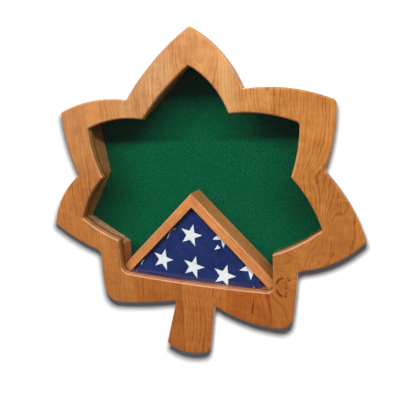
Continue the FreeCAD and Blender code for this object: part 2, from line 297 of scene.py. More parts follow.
# The lower right board has a drying crack, widest at its foot
crack_foot = (0.138, -0.345)
crack_top = (0.1425, -0.303)
crack_half_width = 0.0032
crack_narrowing = 0.0028
crack_least = 0.0003
split = cherry("lower_right_board", rgb(186, 103, 42), rgb(122, 54, 12), 0.0, (0.075, -0.3245), 0.7,
               ((crack_foot[0], crack_foot[1] + 0.01, 0.012, 0.05, 0.02),))
climb = (split.along - crack_foot[1]) / (crack_top[1] - crack_foot[1])
drift = split.across - crack_foot[0] - climb * (crack_top[0] - crack_foot[0])
opening = (crack_half_width - climb * crack_narrowing).at_least(crack_least)
crack = 1 - (drift.size() / opening).step(0.3, 1.0)
crack = crack * climb.step(-0.06, 0.02) * (1 - climb.step(0.9, 1.0))
split.feed(split.shader.inputs["Base Color"], split.mix(crack * 0.75, split.colour, rgb(74, 32, 12)))
split.cover("face_lower_right")

# The right board has a knot ringed with bark, two small buds beside it and a redder foot
knot_place = (0.2040, -0.2776)
knot_half_width = 0.0150
knot_half_height = 0.0200
bud_places = ((0.2145, -0.2610), (0.2078, -0.2968))
bud_half_width = 0.0030
bud_half_height = 0.0026
reddened_below = -0.255
reddened_fade = 0.045
ruddy_below = -0.02
ruddy_fade = 0.18
right_swirls = (
    (knot_place[0], knot_place[1], 0.016, 0.022, 0.03),
    (0.182, -0.212, 0.050, 0.050, 0.12),
    (0.297, -0.135, 0.017, 0.055, 0.022),
    (0.272, -0.252, 0.026, 0.036, 0.03),
    (0.253, -0.049, 0.024, 0.034, 0.03),
)
knotted = cherry("right_board", rgb(200, 131, 60), rgb(136, 70, 20), 0.0, (0.140, -0.105), -0.1,
                 right_swirls)
off = (knotted.across - knot_place[0]) / knot_half_width
up = (knotted.along - knot_place[1]) / knot_half_height
rim = (off * off + up * up) ** 0.5
broken = knotted.clouds(knotted.across * 160, knotted.along * 160, 0.0) - 0.5
bark = (1 - (rim - 1 + broken * 0.3).size().step(0.06, 0.21)) * (1 - off.step(-0.3, 0.1))
bark = bark * up.size().step(0.18, 0.4)
for bud_place in bud_places:
    bud_off = (knotted.across - bud_place[0]) / bud_half_width
    bud_up = (knotted.along - bud_place[1]) / bud_half_height
    bud = bud_off ** 2 + bud_up ** 2
    bark = bark.at_least(1 - bud.step(0.4, 1.2))
inner_bark = 1 - (off - 0.35 + broken * 1.2).size().step(0.02, 0.16)
inner_bark = inner_bark * (1 - up.size().step(0.7, 1.0))
bark = bark.at_least(inner_bark * 0.62)
heartwood = (1 - rim.step(0.5, 1.1)) * (0.3 + broken * 0.8).at_least(0.0)
reddened = 1 - (knotted.along + broken * 0.02).step(reddened_below - reddened_fade, reddened_below)
ruddy = 1 - knotted.along.step(ruddy_below - ruddy_fade, ruddy_below)
colour = knotted.mix(ruddy * 0.2 + reddened * 0.28, knotted.colour, rgb(158, 72, 30))
colour = knotted.mix(heartwood, colour, rgb(170, 76, 36))
knotted.feed(knotted.shader.inputs["Base Color"], knotted.mix(bark * 0.8, colour, rgb(74, 34, 14)))
knotted.cover("face_right")


# The box: thirteen straight boards of the same cherry, mitred end to end behind the opening.
# Each is rebated in front for the glazing and behind for the panel, and its grain runs lengthwise.

heart_beside = 0.05
heart_depth = -0.09
heart_lean = 0.03
tint_range = 6
tint_turn = 2.4


def lengthwise_cherry(name, pale, dark, figure=1.0):
    """A board whose grain runs along its own length, cut to one side of the tree's heart."""
    corners = [vertex.co for vertex in frame_object(name).data.vertices]
    middle = sum(corners, Vector()) / len(corners)
    spread_x = sum((corner.x - middle.x) ** 2 for corner in corners)
    spread_z = sum((corner.z - middle.z) ** 2 for corner in corners)
    spread_xz = sum((corner.x - middle.x) * (corner.z - middle.z) for corner in corners)
    lengthwise = 0.5 * math.atan2(2 * spread_xz, spread_x - spread_z)
    turn = lengthwise - math.pi / 2
    across = middle.x * math.cos(turn) + middle.z * math.sin(turn)
    heart = (across + heart_beside, heart_depth)
    cherry(name + "_cherry", pale, dark, turn, heart, heart_lean, (), figure).cover(name)


box_boards = [name for name in frame["nodes"] if name.startswith("wall_") and name != "wall_bumpers"]
for number, name in enumerate(sorted(box_boards)):
    tint = tint_range * math.sin(number * tint_turn)
    if "foot" in name:
        lengthwise_cherry(name, rgb(222, 136, 82), rgb(166, 82, 42))
    else:
        lengthwise_cherry(name, rgb(208 + tint, 148 + tint, 96 + tint), rgb(148 + tint, 86 + tint, 44))


# The flag rails: two square cherry bars, mitred at the top, that hold the flag between them.
# Their outer front edges are rounded over, and each is screwed to the sill through its foot.

for name in ("flag_rail_left", "flag_rail_right"):
    lengthwise_cherry(name, rgb(232, 155, 92), rgb(178, 98, 46), 0.85)


# The glazing: one sheet of clear acrylic, let into the rebate between the face and the box.
# It is polished, so it shows only a faint reflection, stronger where it is seen at a slant. It stops
# a hair short of the rails' fronts, so that the two surfaces never lie in one plane.

rail_gap = 0.00015
weld_distance = 0.00001


def new_piece(name, mesh, finish, body):
    """A piece of the scene from a bmesh, with its finish, that moves with a body of the frame."""
    data = bpy.data.meshes.new(name)
    mesh.normal_update()
    mesh.to_mesh(data)
    mesh.free()
    data.materials.append(finish.material)
    piece = bpy.data.objects.new(name, data)
    bpy.context.scene.collection.objects.link(piece)
    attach(piece, body)
    return piece


glazing = Finish("clear_acrylic", {})
clear = glazing.node("ShaderNodeBsdfTransparent", {}, {"Color": (0.985, 0.99, 0.988, 1.0)})
polish = glazing.node("ShaderNodeBsdfGlossy", {}, {"Color": (1.0, 1.0, 1.0, 1.0), "Roughness": 0.02})
slant = glazing.node("ShaderNodeLayerWeight", {}, {"Blend": 0.5}, "Facing")
sheet = glazing.node("ShaderNodeMixShader", {}, {0: 0.04 + slant ** 5 * 0.9, 1: clear, 2: polish})
glazing.feed(glazing.surface, sheet)

glazing_low, glazing_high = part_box("glazing")
pane_middle = (glazing_low.y + glazing_high.y) / 2
pane = bmesh.new()
pane.from_mesh(frame_object("glazing").data)
bmesh.ops.remove_doubles(pane, verts=pane.verts, dist=weld_distance)
for vertex in pane.verts:
    if vertex.co.y > pane_middle:
        vertex.co.y = glazing_high.y - rail_gap
pane_sheet = new_piece("glazing_sheet", pane, glazing, "case")
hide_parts("glazing")


# The back panel: a sheet of tempered hardboard in the rabbet, smooth, with a fine speckle of fibres.
# It carries the felt on its front and lifts straight out to the rear.

hardboard = Finish("hardboard", {"Specular IOR Level": 0.4})
right = hardboard.reach((1.0, 0.0, 0.0))
up = hardboard.reach((0.0, 0.0, 1.0))
behind = hardboard.reach((0.0, 1.0, 0.0))
fleck = hardboard.clouds(right * 900, behind * 900, up * 900, 4.0, 0.7)
cloudy = hardboard.clouds(right * 9, behind * 9, up * 9, 3.0)
mottle = hardboard.clouds(right * 75, behind * 75, up * 75, 5.0, 0.7)
scuff = hardboard.clouds(right * 30, behind * 30, up * 260, 2.0).step(0.66, 0.74)
colour = hardboard.mix(fleck.step(0.3, 0.72), rgb(96, 62, 38), rgb(146, 104, 68))
colour = hardboard.mix(mottle.step(0.4, 0.7) * 0.5, colour, rgb(84, 54, 33))
colour = hardboard.mix(cloudy.step(0.35, 0.7) * 0.4, colour, rgb(140, 98, 62))
colour = hardboard.mix(scuff * 0.3, colour, rgb(170, 132, 96))
hardboard.paint(colour, 0.46 + fleck * 0.2 + scuff * 0.08)
hardboard.bump(fleck, 0.00012)
hardboard.cover("back_panel")


# The felt: a sheet of green wool felt cut to the box and glued on the back panel's front.
# It lies a little unevenly, and its fibres show as a fine tangled nap.

felt_thickness = 0.0018
felt_wave = 0.00016
felt_grid = 0.014


def cut_in_squares(mesh, low, high, square):
    """Cuts a flat sheet along upright and level lines, so that it can lie unevenly."""
    for axis in (0, 2):
        direction = Vector((axis == 0, 0, axis == 2))
        for count in range(1, int((high[axis] - low[axis]) / square) + 1):
            point = direction * (low[axis] + count * square)
            everything = mesh.verts[:] + mesh.edges[:] + mesh.faces[:]
            bmesh.ops.bisect_plane(mesh, geom=everything, plane_co=point, plane_no=direction)


felt = Finish("green_felt", {"Sheen Weight": 0.03, "Sheen Roughness": 0.6, "Specular IOR Level": 0.01})
felt.shader.inputs["Sheen Tint"].default_value = rgb(8, 140, 94)
right = felt.reach((1.0, 0.0, 0.0))
up = felt.reach((0.0, 0.0, 1.0))
tangle = felt.clouds(right * 260, up * 260, 0.0, 2.0) - 0.5
nap = felt.clouds(right * 480 + tangle * 5, up * 480 - tangle * 5, 0.0, 5.0, 0.75)
wear_and_painted_highlight = felt.clouds(right * 24, up * 24, 3.0, 3.0)
colour = felt.mix(nap.step(0.38, 0.64), rgb(0, 44, 26), rgb(2, 121, 78))
colour = felt.mix(wear_and_painted_highlight.step(0.35, 0.7) * 0.3, colour, rgb(2, 78, 49))
felt.paint(colour, 0.92)
felt.bump(nap, 0.0006)

felt_low, felt_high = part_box("felt_lining")
cloth = bmesh.new()
cloth.from_mesh(frame_object("felt_lining").data)
sides = [face for face in cloth.faces if face.normal.y > -0.9]
bmesh.ops.delete(cloth, geom=sides, context="FACES")
bmesh.ops.remove_doubles(cloth, verts=cloth.verts, dist=weld_distance)
cut_in_squares(cloth, felt_low, felt_high, felt_grid)
for vertex in cloth.verts:
    wave = noise.noise(vertex.co * 22) + 0.5 * noise.noise(vertex.co * 55)
    vertex.co.y = felt_high.y - felt_thickness + felt_wave * wave
felt_area = sum(face.calc_area() for face in cloth.faces)
lining = new_piece("felt_sheet", cloth, felt, "back")
thick = lining.modifiers.new("thickness", "SOLIDIFY")
thick.thickness = felt_thickness
thick.offset = -1.0
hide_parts("felt_lining")


# The flag: navy cloth folded again and again into a triangle, with its last flap along the right leg.
# It stands on the sill between the rails, its folded layers showing at the sides.

flag_foot = Vector((-0.0023, 0.0, -0.2972))
flag_along = Vector((0.99997, 0.0, -0.0079))
flag_rise = Vector((0.0079, 0.0, 0.99997))
flag_height = 0.1722
flag_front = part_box("folded_flag")[0].y
flag_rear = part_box("folded_flag")[1].y
flag_roll = 0.012
flag_foot_roll = 0.002
flag_sag = 0.0085
flag_sag_height = 0.05
flag_corner = 0.010
flag_corner_steps = 8
flag_loop_count = 270
flag_front_rows = 30
flag_roll_rows = 8
flag_side_rows = 48
flag_rear_rows = 15
flag_weld = 0.00002
crown_height = 0.0013
crown_run = 0.03
crease_height = 0.00075
fine_crease_height = 0.00035
pressed_height = 1.4 * flag_roll
flap_top = (0.004, 0.1505)
flap_foot = (0.1360, 0.0)
flap_height = 0.0020
flap_steps = 90
flap_columns = 26
flap_fold_columns = 8
flap_column_width = 0.0022
flap_wobble = 0.0007
flap_tuck = 0.0002
layer_depth = 0.0058
layer_crease = 0.0011


def leg_distances(u, v):
    """How far a spot of the triangle lies inside each leg, with the way into the triangle from it."""
    half = math.sqrt(0.5)
    return (
        (v, (0.0, 1.0)),
        ((flag_height - u - v) * half, (-half, -half)),
        ((flag_height + u - v) * half, (half, -half)),
    )


def past_flap(u, v):
    """How far a spot lies to the right of the last flap's folded edge."""
    du = flap_foot[0] - flap_top[0]
    dv = flap_foot[1] - flap_top[1]
    return ((u - flap_top[0]) * -dv + (v - flap_top[1]) * du) / math.hypot(du, dv)


def swell(u, v):
    """How far the cloth stands out of the flat front: a low crown and soft creases from the corners."""
    edge = min(distance for distance, inward in leg_distances(u, v))
    inner = max(0.0, min(1.0, (edge - flag_roll) / crown_run))
    spot = Vector((u * 16 + v * 9, v * 16 - u * 9, 0.4))
    crease = crease_height * noise.noise(spot) + fine_crease_height * noise.noise(spot * 2.7)
    return inner * (crown_height + crease)


def settled(point):
    """The bundle's foot bellies forward under its own weight, and its lower edge is pressed square."""
    height = max(0.0, (point - flag_foot).dot(flag_rise))
    total = flag_rear - flag_front
    depth = point.y - flag_front
    square = depth * flag_foot_roll / flag_roll
    if depth > flag_roll:
        square = flag_foot_roll + (depth - flag_roll) * (total - flag_foot_roll) / (total - flag_roll)
    pressed = max(0.0, 1 - height / pressed_height)
    depth += (square - depth) * pressed
    belly = flag_sag * max(0.0, 1 - height / flag_sag_height) ** 2
    point.y = flag_front + depth - belly * (1 - depth / total)
    return point


def on_flag(u, v, lift=0.0):
    """A point on the cloth. A spot past a leg rolls over the edge and on down the side."""
    inside, inward = min(leg_distances(u, v))
    if inside >= flag_roll:
        flat = flag_foot + flag_along * u + flag_rise * v
        flat.y = flag_front - swell(u, v) - lift
        return settled(flat)
    bend = (flag_roll - inside) / flag_roll
    turned = min(bend, math.pi / 2)
    further = (bend - turned) * flag_roll
    reach = flag_roll - (flag_roll + lift) * math.sin(turned)
    depth = flag_roll - (flag_roll + lift) * math.cos(turned) + further
    shift = reach - inside
    point = flag_foot + flag_along * (u + inward[0] * shift) + flag_rise * (v + inward[1] * shift)
    point.y = flag_front + depth
    return settled(point)


def triangle_loop(inset, count):
    """Spots round the flag at one distance inside its legs, with the corners rounded."""
    radius = flag_height * (math.sqrt(2) - 1)
    middle = Vector((0.0, radius))
    corners = [Vector((0.0, flag_height)), Vector((flag_height, 0.0)), Vector((-flag_height, 0.0))]
    path = []
    for index, corner in enumerate(corners):
        before = (corners[index - 1] - corner).normalized()
        after = (corners[(index + 1) % 3] - corner).normalized()
        half_angle = before.angle(after) / 2
        tangent = flag_corner / math.tan(half_angle)
        centre = corner + (before + after).normalized() * (flag_corner / math.sin(half_angle))
        start = corner + before * tangent - centre
        finish = corner + after * tangent - centre
        for step in range(flag_corner_steps + 1):
            path.append(centre + start.lerp(finish, step / flag_corner_steps).normalized() * flag_corner)
    lengths = [0.0]
    for index, spot in enumerate(path):
        lengths.append(lengths[-1] + (path[(index + 1) % len(path)] - spot).length)
    loop = []
    index = 0
    for number in range(count):
        wanted = lengths[-1] * number / count
        while lengths[index + 1] < wanted:
            index += 1
        share = (wanted - lengths[index]) / max(1e-9, lengths[index + 1] - lengths[index])
        spot = path[index].lerp(path[(index + 1) % len(path)], share)
        loop.append(middle + (spot - middle) * (1 - inset / radius))
    return loop


def flag_bundle():
    """The closed bundle: a soft front, sides with the folded layers' edges, and a soft rear."""
    mesh = bmesh.new()
    inradius = flag_height * (math.sqrt(2) - 1)
    profile = []
    for step in range(flag_front_rows):
        inset = inradius - (inradius - flag_roll) * step / flag_front_rows
        profile.append((inset, None))
    for step in range(flag_roll_rows + 1):
        angle = math.pi / 2 * step / flag_roll_rows
        inset = flag_roll - flag_roll * math.sin(angle)
        profile.append((inset, flag_front + flag_roll * (1 - math.cos(angle))))
    side_depth = flag_rear - flag_front - 2 * flag_roll
    for step in range(1, flag_side_rows):
        depth = side_depth * step / flag_side_rows
        crease = layer_crease * (1 - abs(math.sin(math.pi * depth / layer_depth))) ** 2
        profile.append((crease, flag_front + flag_roll + depth))
    for step in range(flag_roll_rows + 1):
        angle = math.pi / 2 * step / flag_roll_rows
        inset = flag_roll - flag_roll * math.cos(angle)
        profile.append((inset, flag_rear - flag_roll * (1 - math.sin(angle))))
    for step in range(1, flag_rear_rows):
        inset = flag_roll + (inradius - flag_roll) * step / flag_rear_rows
        profile.append((inset, flag_rear))
    rows = []
    for inset, depth in profile:
        row = []
        for spot in triangle_loop(inset, flag_loop_count):
            point = flag_foot + flag_along * spot.x + flag_rise * spot.y
            point.y = flag_front - swell(spot.x, spot.y) if depth is None else depth
            row.append(mesh.verts.new(settled(point)))
        rows.append(row)
    for upper, lower in zip(rows, rows[1:]):
        for index in range(flag_loop_count):
            beyond = (index + 1) % flag_loop_count
            mesh.faces.new((upper[index], lower[index], lower[beyond], upper[beyond]))
    mesh.faces.new(rows[0])
    mesh.faces.new(reversed(rows[-1]))
    bmesh.ops.remove_doubles(mesh, verts=mesh.verts, dist=flag_weld)
    bmesh.ops.recalc_face_normals(mesh, faces=mesh.faces)
    for face in mesh.faces:
        face.smooth = True
    return mesh


def flag_flap(mesh):
    """The last flap: one more layer over the right leg, with a rounded fold along its free edge."""
    rows = []
    across = (flap_top[1] - flap_foot[1], flap_foot[0] - flap_top[0])
    length = math.hypot(*across)
    across = (across[0] / length, across[1] / length)
    for step in range(flap_steps + 1):
        share = step / flap_steps
        u = flap_top[0] + (flap_foot[0] - flap_top[0]) * share
        v = flap_top[1] + (flap_foot[1] - flap_top[1]) * share
        wobble = flap_wobble * noise.noise(Vector((share * 9, 0.3, 0.7)))
        row = []
        for column in range(flap_columns):
            angle = math.pi * min(column, flap_fold_columns) / flap_fold_columns
            out = wobble + flap_height * (1 - math.cos(angle)) / 4
            lift = flap_height * math.sin(min(angle, math.pi / 2)) - flap_tuck
            if column > flap_fold_columns:
                out += (column - flap_fold_columns) * flap_column_width
                lift = flap_height
            row.append(mesh.verts.new(on_flag(u + across[0] * out, v + across[1] * out, lift)))
        rows.append(row)
    for upper, lower in zip(rows, rows[1:]):
        for index in range(len(upper) - 1):
            face = mesh.faces.new((upper[index], lower[index], lower[index + 1], upper[index + 1]))
            face.smooth = True
    return mesh


navy = Finish("navy_cloth", {"Sheen Weight": 0.05, "Sheen Roughness": 0.5, "Specular IOR Level": 0.12})
weave_turn = math.radians(-15.4)
weft = navy.reach((math.cos(weave_turn), 0.0, math.sin(weave_turn)))
warp = navy.reach((-math.sin(weave_turn), 0.0, math.cos(weave_turn)))
inward = navy.reach((0.0, 1.0, 0.0))
thread_spacing = 0.0007
thread = 2 * math.pi / thread_spacing
slub = navy.clouds(weft * 300, warp * 60, inward * 300, 2.0) - 0.5
weave = ((weft + inward) * thread).sine() * ((warp + inward) * thread).sine()
faded = navy.clouds(weft * 30, warp * 30, inward * 30, 3.0)
woven = (0.5 + weave * 0.25 + slub * 0.5).at_least(0.0).at_most(1.0)
colour = navy.mix(woven, rgb(12, 29, 83), rgb(28, 51, 116))
colour = navy.mix(faded.step(0.3, 0.75) * 0.5, colour, rgb(40, 60, 122))
crumple = navy.clouds(weft * 110, warp * 45, inward * 60, 3.0, 0.6) - 0.5
colour = navy.mix((crumple * 2.4).at_least(0.0).at_most(1.0), colour, rgb(10, 18, 58))
run = Vector((flap_foot[0] - flap_top[0], flap_foot[1] - flap_top[1])).normalized()
flap_normal = flag_rise * run.x - flag_along * run.y
flap_spot = flag_foot + flag_along * flap_top[0] + flag_rise * flap_top[1]
flap_edge = navy.reach(tuple(flap_normal)) - flap_normal.dot(flap_spot) + crumple * 0.0012
# Painted shade: a dark line along the flap's folded edge, where the fold shades the cloth beside it.
flap_edge_shade = 1 - flap_edge.size().step(0.0004, 0.0015)
colour = navy.mix(flap_edge_shade * 0.75, colour, rgb(9, 14, 42))
navy.paint(colour, 0.78 + weave * 0.06)
navy.bump(0.5 + weave * 0.3 + slub * 0.6, 0.00022)

bundle = flag_bundle()
flag_flap(bundle)
flag = new_piece("folded_flag_cloth", bundle, navy, "case")
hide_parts("folded_flag")


# The stars: white five pointed patches of satin stitching, sewn on the flag 76 mm apart.
# The flap's own stars lie turned, its edge covers most of one beneath it, and at the left the
# rims of two round backings show as thin arcs where the cloth rolls over.

star_tip = 0.027
star_waist = 0.0108
star_turn = math.radians(74.6)
flap_star_turn = math.radians(53.6)
star_lift = 0.0004
star_edge_share = 0.6
star_cuts = 11
sunk_lift = -0.0003
flap_step = 0.001
sill_cut = 0.001
stitch_width = 0.0009
star_places = ((-0.0077, -0.1902), (-0.0817, -0.2545), (-0.0047, -0.2655), (0.0691, -0.2789))
flap_star_places = ((0.0688, -0.1878), (0.1299, -0.2542))
covered_star_place = (0.0682, -0.2038)
sill_star_place = (0.1300, -0.3195)
backing_radius = 0.027
backing_rim = 0.0030
backing_profile = ((-0.5, sunk_lift), (-0.25, 0.0006), (0.25, 0.0006), (0.5, sunk_lift))
backing_arcs = (((-0.0396, 0.0929), 103, 177), ((-0.1139, 0.0201), 142, 174))


def sewn_star(mesh, place, turn, cut=None):
    """One star, laid on the cloth point by point, with a low edge that goes into the cloth.

    The cut is a point and a direction: what lies beyond the point in that direction is left off.
    """
    star = bmesh.new()
    middle = star.verts.new((0, 0, 0))
    rim = []
    for index in range(10):
        angle = turn + index * math.pi / 5
        radius = star_tip if index % 2 == 0 else star_waist
        rim.append(star.verts.new((radius * math.cos(angle), 0, radius * math.sin(angle))))
    for index, corner in enumerate(rim):
        star.faces.new((middle, corner, rim[(index + 1) % 10]))
    bmesh.ops.subdivide_edges(star, edges=star.edges[:], cuts=star_cuts, use_grid_fill=True)
    if cut:
        everything = star.verts[:] + star.edges[:] + star.faces[:]
        point = cut[0] - Vector((place[0], 0.0, place[1]))
        bmesh.ops.bisect_plane(star, geom=everything, plane_co=point, plane_no=cut[1], clear_outer=True)
    border = {vertex for edge in star.edges if edge.is_boundary for vertex in edge.verts}
    skirt = bmesh.ops.extrude_edge_only(star, edges=[edge for edge in star.edges if edge.is_boundary])
    sunk = {item for item in skirt["geom"] if isinstance(item, bmesh.types.BMVert)}
    centre = Vector((place[0], 0.0, place[1])) - flag_foot
    made = {}
    for vertex in star.verts:
        spot = centre + vertex.co
        u = spot.dot(flag_along)
        v = spot.dot(flag_rise)
        lift = star_lift * (star_edge_share if vertex in border else 1.0)
        if vertex in sunk:
            lift = sunk_lift
        lift += flap_height * max(0.0, min(1.0, past_flap(u, v) / flap_step + 0.5))
        made[vertex] = mesh.verts.new(on_flag(u, v, lift))
    for face in star.faces:
        new = mesh.faces.new([made[vertex] for vertex in face.verts])
        new.smooth = True
    star.free()


def sewn_arc(mesh, centre, start, end):
    """A narrow raised arc round a spot of the flag, between two angles in degrees."""
    rows = []
    for degrees in range(start, end + 1, 2):
        angle = math.radians(degrees)
        row = []
        for out, lift in backing_profile:
            radius = backing_radius + out * backing_rim
            u = centre[0] + radius * math.cos(angle)
            v = centre[1] + radius * math.sin(angle)
            row.append(mesh.verts.new(on_flag(u, v, lift)))
        rows.append(row)
    for upper, lower in zip(rows, rows[1:]):
        for index in range(3):
            mesh.faces.new((upper[index], upper[index + 1], lower[index + 1], lower[index])).smooth = True


satin = Finish("white_satin_stitch", {"Sheen Weight": 0.2, "Specular IOR Level": 0.35})
right = satin.reach((1.0, 0.0, 0.0))
up = satin.reach((0.0, 0.0, 1.0))
stitch = ((right * 0.35 + up) * (2 * math.pi / stitch_width)).sine()
lie = satin.clouds(right * 90, up * 260, 0.0, 3.0) - 0.5
tone = (0.72 + stitch * 0.16 + lie * 0.5).at_least(0.0).at_most(1.0)
satin.paint(satin.mix(tone, rgb(224, 233, 238), rgb(251, 253, 254)), 0.6 - stitch * 0.08)
satin.bump(0.5 + stitch * 0.4 + lie * 0.6, 0.0002)

patches = bmesh.new()
for place in star_places:
    sewn_star(patches, place, star_turn)
for place in flap_star_places:
    sewn_star(patches, place, flap_star_turn, (flap_spot, -flap_normal))
sewn_star(patches, covered_star_place, star_turn, (flap_spot, flap_normal))
sewn_star(patches, sill_star_place, star_turn, (flag_foot + flag_rise * sill_cut, -flag_rise))
for centre, start, end in backing_arcs:
    sewn_arc(patches, centre, start, end)
bmesh.ops.recalc_face_normals(patches, faces=patches.faces)
new_piece("flag_stars", patches, satin, "case")


# The turn buttons: stamped and zinc plated bars on the rear rim, one screw each.
# A quarter turn brings a button over the back panel and holds it in.

def metal(name, pale, dark, roughness, scratch_length):
    """Bare or plated metal with fine scratches and a dulled, spotted surface."""
    finish = Finish(name, {"Metallic": 1.0, "Specular IOR Level": 0.5})
    right = finish.reach((1.0, 0.0, 0.0))
    up = finish.reach((0.0, 0.0, 1.0))
    behind = finish.reach((0.0, 1.0, 0.0))
    scratch = finish.clouds(right * 2400, behind * 2400, up / scratch_length, 2.0)
    spots = finish.clouds(right * 320, behind * 320, up * 320, 3.0, 0.6)
    colour = finish.mix(spots.step(0.3, 0.75), pale, dark)
    finish.paint(colour, roughness + scratch * 0.14 + spots.step(0.45, 0.8) * 0.12)
    finish.bump(scratch * 0.6 + spots * 0.4, 0.00004)
    return finish


button_names = [name for name in frame["nodes"] if name.startswith("turn_button_")]
metal("zinc_plate", rgb(178, 182, 184), rgb(112, 116, 120), 0.28, 0.006).cover(*button_names)


# The screws: six in the turn buttons, two in the hangers and two up through the sill into the rails.
# They are zinc plated steel, with low domed heads, a cross recess for the driver and a rolled thread.

screw_head_height = 0.0018
screw_head_overhang = 0.0013
screw_edge_share = 0.45
dome_shares = (0.74, 0.87, 0.96, 1.0)
recess_reach = 0.60
recess_half_width = 0.19
recess_depth = 0.0010
recess_floor_share = 0.7
recess_pit_share = 1.3
thread_pitch = 0.0018
thread_root = 0.76
plain_share = 0.25
point_length = 0.004
point_share = 0.08
rings_per_pitch = 4
turn_per_screw = 1.9
screw_sharp_angle = math.radians(35)


def separate_solids(name):
    """The corners of each solid in a node that groups several."""
    mesh = bmesh.new()
    mesh.from_mesh(frame_object(name).data)
    bmesh.ops.remove_doubles(mesh, verts=mesh.verts, dist=weld_distance)
    seen = set()
    solids = []
    for first in mesh.verts:
        if first in seen:
            continue
        seen.add(first)
        solid = [first]
        for vertex in solid:
            for edge in vertex.link_edges:
                other = edge.other_vert(vertex)
                if other not in seen:
                    seen.add(other)
                    solid.append(other)
        solids.append([vertex.co.copy() for vertex in solid])
    mesh.free()
    return solids


def join_rings(mesh, rings):
    """Closes the skin between rings of as many corners each."""
    for upper, lower in zip(rings, rings[1:]):
        for index in range(len(upper)):
            beyond = (index + 1) % len(upper)
            mesh.faces.new((upper[index], upper[beyond], lower[beyond], lower[index]))


def driven_screw(mesh, corners, axis, turn):
    """One screw in a plain solid's place. The axis points out of its head, and its recess is turned."""
    middle = sum(corners, Vector()) / len(corners)
    heights = [(corner - middle).dot(axis) for corner in corners]
    head_radius = max((corner - middle).cross(axis).length for corner in corners)
    shank_radius = head_radius - screw_head_overhang
    seat = middle + axis * (max(heights) - screw_head_height)
    length = max(heights) - min(heights) - screw_head_height
    across = axis.orthogonal().normalized()
    beside = axis.cross(across)

    def corner_at(radius, angle, height):
        out = across * math.cos(angle + turn) + beside * math.sin(angle + turn)
        return mesh.verts.new(seat + out * radius + axis * height)

    def dome(share):
        return screw_head_height * (screw_edge_share + (1 - screw_edge_share) * math.sqrt(1 - share * share))

    arm_share = math.hypot(recess_reach, recess_half_width)
    arm_angle = math.atan2(recess_half_width, recess_reach)
    notch_share = recess_half_width * math.sqrt(2)
    outline = []
    for quarter in range(4):
        ahead = quarter * math.pi / 2
        outline.append((arm_share, ahead - arm_angle))
        outline.append((arm_share, ahead + arm_angle))
        outline.append((notch_share, ahead + math.pi / 4))
    mouth = [corner_at(head_radius * share, angle, dome(share)) for share, angle in outline]
    floor = []
    for share, angle in outline:
        floor.append(corner_at(head_radius * share * recess_floor_share, angle, dome(share) - recess_depth))
    sides = 2 * len(outline)
    angles = [math.pi * (2 * index / sides - 1 / 12) for index in range(sides)]
    rings = []
    for share in dome_shares:
        rings.append([corner_at(head_radius * share, angle, dome(share)) for angle in angles])
    rings.append([corner_at(head_radius, angle, 0.0) for angle in angles])
    rows = int(rings_per_pitch * length / thread_pitch)
    for row in range(rows + 1):
        down = length * row / rows
        taper = min(1.0, (length - down) / point_length + point_share)
        ring = []
        for angle in angles:
            turned = (down / thread_pitch - angle / (2 * math.pi)) % 1.0
            ridge = 1.0 if down < plain_share * length else 1 - abs(2 * turned - 1)
            groove = thread_root + (1 - thread_root) * ridge
            ring.append(corner_at(shank_radius * taper * groove, angle, -down))
        rings.append(ring)
    join_rings(mesh, rings)
    join_rings(mesh, [floor, mouth])
    mesh.faces.new(rings[-1])
    pit = corner_at(0.0, 0.0, dome(0.0) - recess_depth * recess_pit_share)
    for index, lip in enumerate(mouth):
        beyond = (index + 1) % len(mouth)
        mesh.faces.new((pit, floor[index], floor[beyond]))
        mesh.faces.new((lip, rings[0][2 * index], rings[0][2 * index + 1]))
        outer = rings[0][(2 * index + 2) % sides]
        mesh.faces.new((lip, rings[0][2 * index + 1], outer, mouth[beyond]))


screw_zinc = metal("screw_zinc", rgb(160, 158, 150), rgb(98, 94, 86), 0.26, 0.004)
rearward = Vector((0.0, 1.0, 0.0))
screw_axes = {"button_screws": rearward, "hanger_screws": rearward, "rail_screws": -flag_rise}
for name, axis in screw_axes.items():
    screws = bmesh.new()
    for number, corners in enumerate(separate_solids(name)):
        driven_screw(screws, corners, axis, turn_per_screw * number)
    bmesh.ops.recalc_face_normals(screws, faces=screws.faces)
    for face in screws.faces:
        face.smooth = True
    made = new_piece("domed_" + name, screws, screw_zinc, "case")
    made.data.set_sharp_from_angle(angle=screw_sharp_angle)
    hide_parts(name)


# The hangers: a steel strap folded round the straight side of a D ring, screwed to each side of the rim.
# Strap and ring are nickel plated, and the ring swings freely in the fold.

hanger_names = [name for name in frame["nodes"] if name.startswith("hanger_") and name != "hanger_screws"]
metal("nickel_plate", rgb(184, 174, 154), rgb(122, 112, 94), 0.24, 0.008).cover(*hanger_names)


# The bumpers: four discs of black rubber stuck on the rim, which keep the case off the wall.
# They are moulded with a rounded edge and a shallow dimple, matt, with a little dust in the pores.

bumper_sides = 40
bumper_sharp_angle = math.radians(50)
bumper_profile = ((1.0, 0.0), (1.0, 0.5), (0.98, 0.68), (0.92, 0.84), (0.82, 0.95), (0.70, 1.0),
                  (0.42, 1.0), (0.36, 0.97), (0.2, 0.95))

rubber = Finish("bumper_rubber", {"Specular IOR Level": 0.35})
right = rubber.reach((1.0, 0.0, 0.0))
up = rubber.reach((0.0, 0.0, 1.0))
behind = rubber.reach((0.0, 1.0, 0.0))
pores = rubber.clouds(right * 1800, behind * 1800, up * 1800, 3.0)
dust = rubber.clouds(right * 160, behind * 160, up * 160, 3.0).step(0.5, 0.8)
colour = rubber.mix(dust * 0.4 + pores * 0.15, rgb(22, 22, 23), rgb(74, 72, 70))
rubber.paint(colour, 0.66 + dust * 0.2)
rubber.bump(pores, 0.00012)

